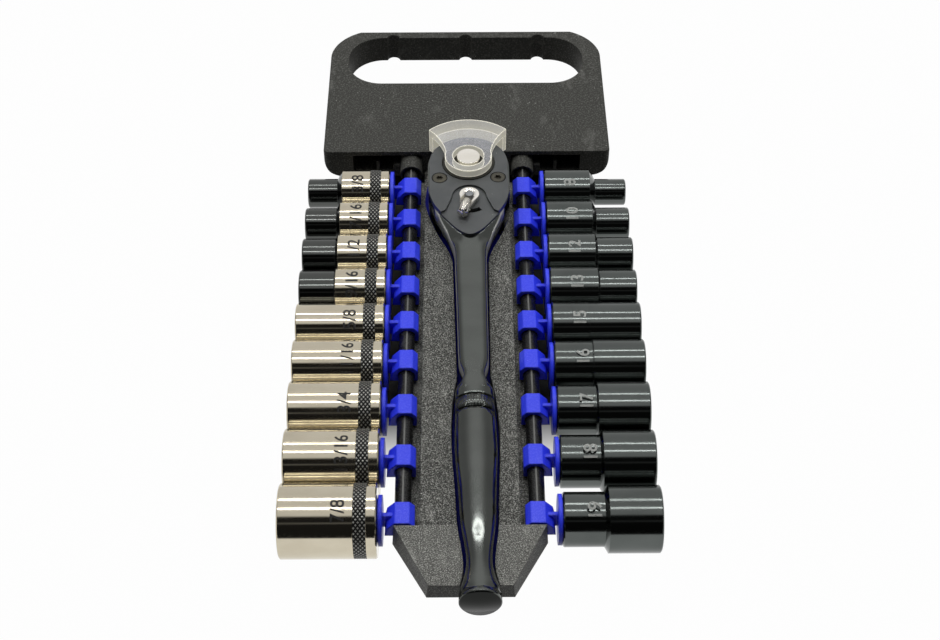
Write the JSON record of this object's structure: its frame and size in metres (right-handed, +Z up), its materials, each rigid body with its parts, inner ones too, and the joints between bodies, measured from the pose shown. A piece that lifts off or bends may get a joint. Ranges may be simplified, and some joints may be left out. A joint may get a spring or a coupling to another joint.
{
  "type": "socket wrench set on a hanging rack",
  "caption": "Ratchet wrench laid along the middle of an open hanging rack, between an inch row and a metric row of sockets on sliding clips.",
  "frame": {"origin": "On the floor under the middle of the whole set.", "axes": "+X towards the metric row, +Y towards the carrying handle, +Z up from the rack."},
  "size_m": [0.1476, 0.3532, 0.0351],
  "materials": {
    "rack_black": "fine-grained black moulding",
    "liner_blue": "matt blue foam sheet",
    "clip_blue": "satin blue moulding",
    "socket_chrome": "polished warm chrome with a knurled band",
    "socket_black": "black chrome",
    "wrench_black": "black chrome",
    "cover_grey": "satin dark grey plate",
    "lever_chrome": "bright chrome",
    "works_steel": "turned and hardened steel",
    "clear_plastic": "clear, slightly yellow at the edges"
  },
  "bodies": {
    "rack": {"handle_block": "rack_black", "deck": "rack_black", "panel_insert": "rack_black", "blue_liner": "liner_blue", "left_rail": "rack_black", "right_rail": "rack_black"},
    "left_clip_1": {"left_clip_1": "clip_blue"},
    "left_socket_1": {"left_socket_1": "socket_chrome"},
    "left_clip_2": {"left_clip_2": "clip_blue"},
    "left_socket_2": {"left_socket_2": "socket_chrome"},
    "left_clip_3": {"left_clip_3": "clip_blue"},
    "left_socket_3": {"left_socket_3": "socket_chrome"},
    "left_clip_4": {"left_clip_4": "clip_blue"},
    "left_socket_4": {"left_socket_4": "socket_chrome"},
    "left_clip_5": {"left_clip_5": "clip_blue"},
    "left_socket_5": {"left_socket_5": "socket_chrome"},
    "left_clip_6": {"left_clip_6": "clip_blue"},
    "left_socket_6": {"left_socket_6": "socket_chrome"},
    "left_clip_7": {"left_clip_7": "clip_blue"},
    "left_socket_7": {"left_socket_7": "socket_chrome"},
    "left_clip_8": {"left_clip_8": "clip_blue"},
    "left_socket_8": {"left_socket_8": "socket_chrome"},
    "left_clip_9": {"left_clip_9": "clip_blue"},
    "left_socket_9": {"left_socket_9": "socket_chrome"},
    "right_clip_1": {"right_clip_1": "clip_blue"},
    "right_socket_1": {"right_socket_1": "socket_black"},
    "right_clip_2": {"right_clip_2": "clip_blue"},
    "right_socket_2": {"right_socket_2": "socket_black"},
    "right_clip_3": {"right_clip_3": "clip_blue"},
    "right_socket_3": {"right_socket_3": "socket_black"},
    "right_clip_4": {"right_clip_4": "clip_blue"},
    "right_socket_4": {"right_socket_4": "socket_black"},
    "right_clip_5": {"right_clip_5": "clip_blue"},
    "right_socket_5": {"right_socket_5": "socket_black"},
    "right_clip_6": {"right_clip_6": "clip_blue"},
    "right_socket_6": {"right_socket_6": "socket_black"},
    "right_clip_7": {"right_clip_7": "clip_blue"},
    "right_socket_7": {"right_socket_7": "socket_black"},
    "right_clip_8": {"right_clip_8": "clip_blue"},
    "right_socket_8": {"right_socket_8": "socket_black"},
    "right_clip_9": {"right_clip_9": "clip_blue"},
    "right_socket_9": {"right_socket_9": "socket_black"},
    "wrench": {"ratchet_handle": "wrench_black", "head_cover": "cover_grey", "cover_screws": "works_steel", "pawl_pin": "works_steel"},
    "drive": {"drive_gear": "works_steel", "release_spring": "works_steel", "detent_ball": "works_steel"},
    "button": {"release_button": "lever_chrome"},
    "pawl": {"pawl": "works_steel"},
    "selector": {"selector_lever": "lever_chrome", "lever_pin": "works_steel", "pawl_plunger": "works_steel", "plunger_spring": "works_steel"},
    "retainer": {"clear_retainer": "clear_plastic"}
  },
  "joints": [
    {"name": "left_train_1", "type": "slide", "parent": "rack", "child": "left_clip_1", "axis": [0, 1, 0], "range_m": [0, 0.007]},
    {"name": "left_pull_1", "type": "slide", "parent": "left_clip_1", "child": "left_socket_1", "axis": [-1, 0, 0], "range_m": [0, 0.018]},
    {"name": "left_train_2", "type": "slide", "parent": "rack", "child": "left_clip_2", "axis": [0, 1, 0], "range_m": [0, 0.007]},
    {"name": "left_pull_2", "type": "slide", "parent": "left_clip_2", "child": "left_socket_2", "axis": [-1, 0, 0], "range_m": [0, 0.018]},
    {"name": "left_train_3", "type": "slide", "parent": "rack", "child": "left_clip_3", "axis": [0, 1, 0], "range_m": [0, 0.007]},
    {"name": "left_pull_3", "type": "slide", "parent": "left_clip_3", "child": "left_socket_3", "axis": [-1, 0, 0], "range_m": [0, 0.018]},
    {"name": "left_train_4", "type": "slide", "parent": "rack", "child": "left_clip_4", "axis": [0, 1, 0], "range_m": [0, 0.007]},
    {"name": "left_pull_4", "type": "slide", "parent": "left_clip_4", "child": "left_socket_4", "axis": [-1, 0, 0], "range_m": [0, 0.018]},
    {"name": "left_train_5", "type": "slide", "parent": "rack", "child": "left_clip_5", "axis": [0, 1, 0], "range_m": [0, 0.007]},
    {"name": "left_pull_5", "type": "slide", "parent": "left_clip_5", "child": "left_socket_5", "axis": [-1, 0, 0], "range_m": [0, 0.018]},
    {"name": "left_train_6", "type": "slide", "parent": "rack", "child": "left_clip_6", "axis": [0, 1, 0], "range_m": [0, 0.007]},
    {"name": "left_pull_6", "type": "slide", "parent": "left_clip_6", "child": "left_socket_6", "axis": [-1, 0, 0], "range_m": [0, 0.018]},
    {"name": "left_train_7", "type": "slide", "parent": "rack", "child": "left_clip_7", "axis": [0, 1, 0], "range_m": [0, 0.007]},
    {"name": "left_pull_7", "type": "slide", "parent": "left_clip_7", "child": "left_socket_7", "axis": [-1, 0, 0], "range_m": [0, 0.018]},
    {"name": "left_train_8", "type": "slide", "parent": "rack", "child": "left_clip_8", "axis": [0, 1, 0], "range_m": [0, 0.007]},
    {"name": "left_pull_8", "type": "slide", "parent": "left_clip_8", "child": "left_socket_8", "axis": [-1, 0, 0], "range_m": [0, 0.018]},
    {"name": "left_train_9", "type": "slide", "parent": "rack", "child": "left_clip_9", "axis": [0, 1, 0], "range_m": [0, 0.007]},
    {"name": "left_pull_9", "type": "slide", "parent": "left_clip_9", "child": "left_socket_9", "axis": [-1, 0, 0], "range_m": [0, 0.018]},
    {"name": "right_train_1", "type": "slide", "parent": "rack", "child": "right_clip_1", "axis": [0, 1, 0], "range_m": [0, 0.007]},
    {"name": "right_pull_1", "type": "slide", "parent": "right_clip_1", "child": "right_socket_1", "axis": [1, 0, 0], "range_m": [0, 0.018]},
    {"name": "right_train_2", "type": "slide", "parent": "rack", "child": "right_clip_2", "axis": [0, 1, 0], "range_m": [0, 0.007]},
    {"name": "right_pull_2", "type": "slide", "parent": "right_clip_2", "child": "right_socket_2", "axis": [1, 0, 0], "range_m": [0, 0.018]},
    {"name": "right_train_3", "type": "slide", "parent": "rack", "child": "right_clip_3", "axis": [0, 1, 0], "range_m": [0, 0.007]},
    {"name": "right_pull_3", "type": "slide", "parent": "right_clip_3", "child": "right_socket_3", "axis": [1, 0, 0], "range_m": [0, 0.018]},
    {"name": "right_train_4", "type": "slide", "parent": "rack", "child": "right_clip_4", "axis": [0, 1, 0], "range_m": [0, 0.007]},
    {"name": "right_pull_4", "type": "slide", "parent": "right_clip_4", "child": "right_socket_4", "axis": [1, 0, 0], "range_m": [0, 0.018]},
    {"name": "right_train_5", "type": "slide", "parent": "rack", "child": "right_clip_5", "axis": [0, 1, 0], "range_m": [0, 0.007]},
    {"name": "right_pull_5", "type": "slide", "parent": "right_clip_5", "child": "right_socket_5", "axis": [1, 0, 0], "range_m": [0, 0.018]},
    {"name": "right_train_6", "type": "slide", "parent": "rack", "child": "right_clip_6", "axis": [0, 1, 0], "range_m": [0, 0.007]},
    {"name": "right_pull_6", "type": "slide", "parent": "right_clip_6", "child": "right_socket_6", "axis": [1, 0, 0], "range_m": [0, 0.018]},
    {"name": "right_train_7", "type": "slide", "parent": "rack", "child": "right_clip_7", "axis": [0, 1, 0], "range_m": [0, 0.007]},
    {"name": "right_pull_7", "type": "slide", "parent": "right_clip_7", "child": "right_socket_7", "axis": [1, 0, 0], "range_m": [0, 0.018]},
    {"name": "right_train_8", "type": "slide", "parent": "rack", "child": "right_clip_8", "axis": [0, 1, 0], "range_m": [0, 0.007]},
    {"name": "right_pull_8", "type": "slide", "parent": "right_clip_8", "child": "right_socket_8", "axis": [1, 0, 0], "range_m": [0, 0.018]},
    {"name": "right_train_9", "type": "slide", "parent": "rack", "child": "right_clip_9", "axis": [0, 1, 0], "range_m": [0, 0.007]},
    {"name": "right_pull_9", "type": "slide", "parent": "right_clip_9", "child": "right_socket_9", "axis": [1, 0, 0], "range_m": [0, 0.018]},
    {"name": "wrench_lift", "type": "slide", "parent": "rack", "child": "wrench", "axis": [0, 0, 1], "range_m": [0, 0.06]},
    {"name": "drive_turn", "type": "hinge", "parent": "wrench", "child": "drive", "pos_m": [0.0007, 0.06069, 0.01677], "axis": [0, 0, 1], "continuous": true},
    {"name": "release_press", "type": "slide", "parent": "drive", "child": "button", "axis": [0, 0, -1], "range_m": [0, 0.003], "stiffness_N_per_m": 600, "springref_m": -0.003, "deforming": ["release_spring"]},
    {"name": "selector_swing", "type": "hinge", "parent": "wrench", "child": "selector", "pos_m": [0.00097, 0.03749, 0.02987], "axis": [0, 0, 1], "range_deg": [0, 28.6]},
    {"name": "pawl_rock", "type": "hinge", "parent": "wrench", "child": "pawl", "pos_m": [0.00089, 0.04449, 0.01877], "axis": [0, 0, 1], "range_deg": [-13, 0]},
    {"name": "retainer_lift", "type": "slide", "parent": "wrench", "child": "retainer", "axis": [0, 0, 1], "range_m": [0, 0.03]}
  ],
  "couplings": [
    {"joint": "left_train_2", "follows": "left_train_1", "ratio": 1},
    {"joint": "left_train_3", "follows": "left_train_1", "ratio": 1},
    {"joint": "left_train_4", "follows": "left_train_1", "ratio": 1},
    {"joint": "left_train_5", "follows": "left_train_1", "ratio": 1},
    {"joint": "left_train_6", "follows": "left_train_1", "ratio": 1},
    {"joint": "left_train_7", "follows": "left_train_1", "ratio": 1},
    {"joint": "left_train_8", "follows": "left_train_1", "ratio": 1},
    {"joint": "left_train_9", "follows": "left_train_1", "ratio": 1},
    {"joint": "right_train_2", "follows": "right_train_1", "ratio": 1},
    {"joint": "right_train_3", "follows": "right_train_1", "ratio": 1},
    {"joint": "right_train_4", "follows": "right_train_1", "ratio": 1},
    {"joint": "right_train_5", "follows": "right_train_1", "ratio": 1},
    {"joint": "right_train_6", "follows": "right_train_1", "ratio": 1},
    {"joint": "right_train_7", "follows": "right_train_1", "ratio": 1},
    {"joint": "right_train_8", "follows": "right_train_1", "ratio": 1},
    {"joint": "right_train_9", "follows": "right_train_1", "ratio": 1},
    {"joint": "pawl_rock", "follows": "selector_swing", "ratio": -0.41958}
  ]
}
